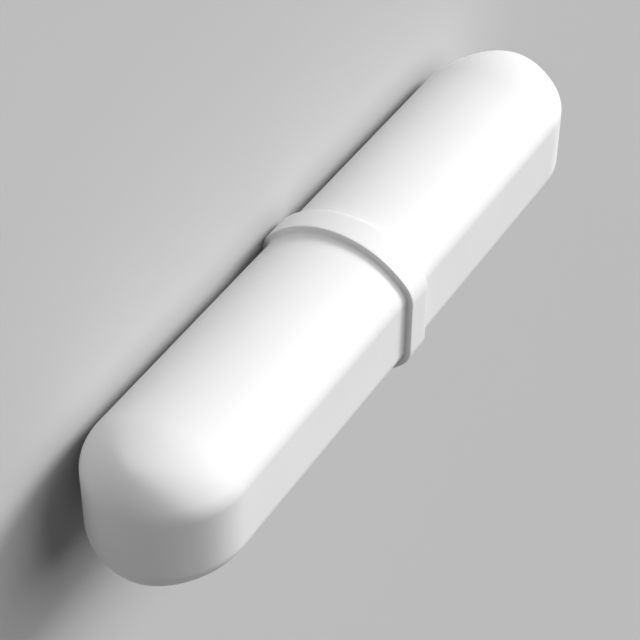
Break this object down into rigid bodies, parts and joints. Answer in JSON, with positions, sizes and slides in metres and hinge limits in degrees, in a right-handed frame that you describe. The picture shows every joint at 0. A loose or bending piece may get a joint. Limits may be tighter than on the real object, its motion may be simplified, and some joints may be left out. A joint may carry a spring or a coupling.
{
  "type": "magnetic stir bar",
  "caption": "White moulded stir bar with arched crowns, flat sides, round domed ends and a pivot ring round its middle; it spins in a vessel over a rotating magnet.",
  "frame": {"origin": "middle of the bar", "axes": "+X along the bar, -Y and +Y out of the two crowns, +Z and -Z out of the upper and lower flat sides"},
  "size_m": [0.04, 0.0088, 0.0088],
  "materials": {
    "jacket": "smooth satin white fluoropolymer",
    "magnet": "cast and ground dark grey magnet alloy"
  },
  "bodies": {
    "root": {"jacket": "jacket", "magnet": "magnet"}
  },
  "joints": []
}
